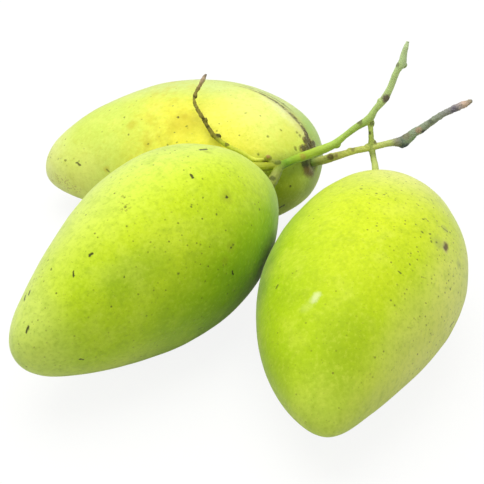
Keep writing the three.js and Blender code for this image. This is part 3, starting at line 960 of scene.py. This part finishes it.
def dress_bark(bm, ridge, wrinkle):
    """Ridges, wrinkles and torn ends on the fused limbs, and the bark's colour and dryness."""
    samples = [(s, stops, points) for points, stops in LIMBS for s in limb_samples(points)]
    tree = kdtree.KDTree(len(samples))
    for number, ((place, _, _), _, _) in enumerate(samples):
        tree.insert(place, number)
    tree.balance()
    bm.normal_update()
    bark = bm.verts.layers.float_color.new("bark")
    dryness = bm.verts.layers.float.new("dryness")
    lifted = []
    for vert in bm.verts:
        _, number, _ = tree.find(vert.co)
        (_, radius, position), stops, points = samples[number]
        along = samples[min(number + 1, len(samples) - 1)][0][0] - samples[max(number - 1, 0)][0][0]
        along = along.normalized()
        colour, dry = bark_at(stops, position)
        drawn = vert.co - along * vert.co.dot(along) * GRAIN_DRAW
        grain = noise.noise(drawn * 1.5 + Vector((DETAIL_SEED, 0, 0)))
        pimple = noise.noise(vert.co * 1.3 + Vector((0, DETAIL_SEED, 0)))
        knots = noise.noise(vert.co * 0.45 + Vector((0, 0, DETAIL_SEED)))
        height = ridge + (wrinkle - ridge) * dry
        lift = (grain * 1.2 + pimple * 0.6 + knots * 1.2) * height + BARK_SWELL
        end = min(position, len(points) - 1 - position)
        if radius < TORN_RADIUS and position > 2:
            torn = 1 - smooth_step(0.0, TORN_REACH, end)
            lift += torn * noise.noise(vert.co * 2.2) * TORN_HEIGHT
        colour = colour * (1 + (0.2 * grain + 0.12 * pimple) * (0.3 + 0.7 * dry) + 0.12 * knots)
        for x, y, z, reach, code, strength in SCARS:
            distance = (vert.co - Vector((x, y, z))).length + pimple * 0.35
            if distance < reach * 1.5:
                share = strength * (1 - smooth_step(reach * 0.65, reach * 1.4, distance))
                colour = colour.lerp(Vector(paint(code)), share)
                dry = max(dry, share)
        vert[bark] = (*colour, 1.0)
        vert[dryness] = dry
        lifted.append(vert.co + vert.normal * lift)
    for vert, place in zip(bm.verts, lifted):
        vert.co = place


def add_knobs(bm):
    """Bud scars and collars, each drawn out along the limb that it sits on."""
    samples = [sample for points, _ in LIMBS for sample in limb_samples(points)]
    breadth, length = KNOB_FORM
    for x, y, z, radius in KNOBS:
        centre = Vector((x, y, z))
        number = min(range(1, len(samples)), key=lambda i: (samples[i][0] - centre).length)
        along = (samples[number][0] - samples[number - 1][0]).normalized()
        turn = along.to_track_quat("Z", "X").to_matrix().to_4x4()
        size = Matrix.Diagonal((radius * breadth, radius * breadth, radius * length, 1.0))
        bmesh.ops.create_icosphere(
            bm, subdivisions=3, radius=1.0, matrix=Matrix.Translation(centre) @ turn @ size
        )


def build_stalk(settings, material):
    bm = bmesh.new()
    for points, _ in LIMBS:
        bm.from_mesh(limb_mesh(limb_samples(points)))
    add_knobs(bm)
    bm = fuse(bm)
    for _ in range(SMOOTH_STEPS):
        bmesh.ops.smooth_vert(
            bm, verts=bm.verts, factor=0.5, use_axis_x=True, use_axis_y=True, use_axis_z=True
        )
    dress_bark(bm, settings.ridge / MM, settings.wrinkle / MM)
    shift = cluster_shift()
    low, high = (Vector(corner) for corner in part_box("fruit_stalk"))
    for vert in bm.verts:
        place = (vert.co + shift) * MM
        vert.co = [min(max(place[i], low[i]), high[i]) for i in range(3)]
    return add_piece("mango_stalk", bm, material, "fruit_stalk")


def bark_finish(settings):
    bark = Finish("mango_stalk_bark")
    inputs = {0: bark.node("TexCoord", output="Object"), "Scale": 1 / MM}
    place = bark.node("VectorMath", {"operation": "SCALE"}, inputs)
    colour = bark.node("Attribute", {"attribute_name": "bark"}, output="Color")
    dry = bark.node("Attribute", {"attribute_name": "dryness"}, output="Fac")
    colour = bark.mix(colour, settings.bark_tint, 1.0, "MULTIPLY")
    specks = bark.noise(place, 0.5, 3.0, 0.7)
    patches = bark.noise(place, 2.6, 2.0, 0.6)
    colour = bark.tint(colour, 0x3E3A20, specks.rise(0.56, 0.78) * (dry * 0.4 + 0.04))
    colour = bark.tint(colour, 0xC8D37A, patches.rise(0.55, 0.8) * 0.16)
    height = (specks * 0.03 + bark.noise(place, 1.3, 3.0, 0.6) * 0.08) * (dry * 1.2 + 0.1)
    return bark.close(colour, dry * 0.28 + 0.45, height, MM)


class MANGOES_OT_left(bpy.types.Operator):
    """Build the left fruit."""

    bl_idname = "mangoes.left"
    bl_label = "Left Mango"

    def execute(self, context):
        build_fruit("left", left_skin, 3.1)
        return {"FINISHED"}


class MANGOES_OT_right(bpy.types.Operator):
    """Build the right fruit."""

    bl_idname = "mangoes.right"
    bl_label = "Right Mango"

    def execute(self, context):
        build_fruit("right", right_skin, 7.7)
        return {"FINISHED"}


class MANGOES_OT_back(bpy.types.Operator):
    """Build the fruit at the back."""

    bl_idname = "mangoes.back"
    bl_label = "Back Mango"

    def execute(self, context):
        build_fruit("back", back_skin, 12.9)
        return {"FINISHED"}


class MANGOES_OT_stalk(bpy.types.Operator):
    """Build the branching fruit stalk."""

    bl_idname = "mangoes.stalk"
    bl_label = "Fruit Stalk"

    def execute(self, context):
        settings = context.scene.mangoes.stalk
        build_stalk(settings, bark_finish(settings))
        return {"FINISHED"}


def add_floor(name, height, colour, glow):
    bm = bmesh.new()
    bmesh.ops.create_circle(
        bm, cap_ends=True, segments=96, radius=3.0, matrix=Matrix.Translation((0, 0, height))
    )
    mesh = bpy.data.meshes.new(name)
    bm.to_mesh(mesh)
    bm.free()
    board = Finish(name + "_board")
    fibre = board.noise(board.node("TexCoord", output="Object"), 0.02, 3.0, 0.6)
    uniform = {
        "Emission Color": (1.0,) * 4, "Emission Strength": glow, "Specular IOR Level": 0.0,
    }
    mesh.materials.append(board.close((*colour, 1.0), fibre * 0.1 + 0.6, fibre, 0.0001, uniform))
    floor = bpy.data.objects.new(name, mesh)
    bpy.context.scene.collection.objects.link(floor)
    return floor


class MANGOES_OT_studio(bpy.types.Operator):
    """Set up the floor, the light and the camera."""

    bl_idname = "mangoes.studio"
    bl_label = "Studio"

    def execute(self, context):
        scene, settings = context.scene, context.scene.mangoes.studio
        scene.view_settings.view_transform = "Standard"
        # The camera sees a glowing floor with faint shadows. Under it, the floor that lights the
        # fruits has full shadows, so that the skins darken where the fruits meet.
        seen = add_floor("studio_floor", 0.0, settings.floor, settings.floor_glow)
        seen.visible_diffuse = seen.visible_glossy = seen.visible_shadow = False
        bounce = add_floor("studio_bounce", -0.5 * MM, settings.bounce, 0.0)
        bounce.visible_camera = False

        scene.world = bpy.data.worlds.new("studio_surround")
        scene.world.use_nodes = True
        tree = scene.world.node_tree
        tree.nodes.clear()
        above, below, blend, end = (
            tree.nodes.new("ShaderNode" + kind)
            for kind in ("Background", "Background", "MixShader", "OutputWorld")
        )
        place, axes, height = (
            tree.nodes.new("ShaderNode" + kind) for kind in ("TexCoord", "SeparateXYZ", "MapRange")
        )
        above.inputs["Strength"].default_value = settings.sky
        below.inputs["Strength"].default_value = settings.sky_below
        for surround in (above, below):
            surround.inputs["Color"].default_value = (1.0, 1.0, 1.0, 1.0)
        height.inputs["From Min"].default_value = -0.35
        height.inputs["From Max"].default_value = 0.35
        for start, finish in (
            (place.outputs["Generated"], axes.inputs[0]),
            (axes.outputs["Z"], height.inputs["Value"]),
            (height.outputs[0], blend.inputs[0]),
            (below.outputs[0], blend.inputs[1]),
            (above.outputs[0], blend.inputs[2]),
            (blend.outputs[0], end.inputs["Surface"]),
        ):
            tree.links.new(start, finish)

        target = (Vector(LOOK_AT) + cluster_shift()) * MM
        light = bpy.data.lights.new("studio_key", "AREA")
        light.shape, light.size = "DISK", 0.8
        light.energy = settings.key
        key = bpy.data.objects.new("studio_key", light)
        key.location = target + Vector((-0.1, 0.12, 0.72))
        key.visible_glossy = False
        key.rotation_euler = (target - key.location).to_track_quat("-Z", "Y").to_euler()
        scene.collection.objects.link(key)

        lens = bpy.data.cameras.new("studio_camera")
        lens.lens, lens.sensor_width = settings.lens, SENSOR
        camera = bpy.data.objects.new("studio_camera", lens)
        back = camera_back(settings)
        camera.location = target + back * settings.distance
        camera.rotation_euler = (-back).to_track_quat("-Z", "Y").to_euler()
        scene.collection.objects.link(camera)
        scene.camera = camera
        return {"FINISHED"}


OPERATORS = (
    MANGOES_OT_left, MANGOES_OT_right, MANGOES_OT_back, MANGOES_OT_stalk, MANGOES_OT_studio,
)


class MANGOES_PT_sidebar(bpy.types.Panel):
    """Lists the pieces and their settings."""

    bl_idname = "MANGOES_PT_sidebar"
    bl_label = "Green Mango Cluster"
    bl_space_type = "VIEW_3D"
    bl_region_type = "UI"
    bl_category = "Mangoes"

    def draw(self, context):
        settings = context.scene.mangoes
        for operator, group in zip(OPERATORS, ("left", "right", "back", "stalk", "studio")):
            box = self.layout.box()
            box.operator(operator.bl_idname)
            values = getattr(settings, group)
            for name in values.bl_rna.properties.keys():
                if name not in {"rna_type", "name"}:
                    box.prop(values, name)


CLASSES = (
    LeftMangoSettings, RightMangoSettings, BackMangoSettings, StalkSettings, StudioSettings,
    MangoSettings, *OPERATORS, MANGOES_PT_sidebar,
)


def register():
    for cls in CLASSES:
        bpy.utils.register_class(cls)
    bpy.types.Scene.mangoes = PointerProperty(type=MangoSettings)


def unregister():
    del bpy.types.Scene.mangoes
    for cls in reversed(CLASSES):
        bpy.utils.unregister_class(cls)


def main():
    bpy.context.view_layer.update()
    register()
    for operator in OPERATORS:
        group, name = operator.bl_idname.split(".")
        getattr(getattr(bpy.ops, group), name)()


if __name__ == "__main__":
    main()
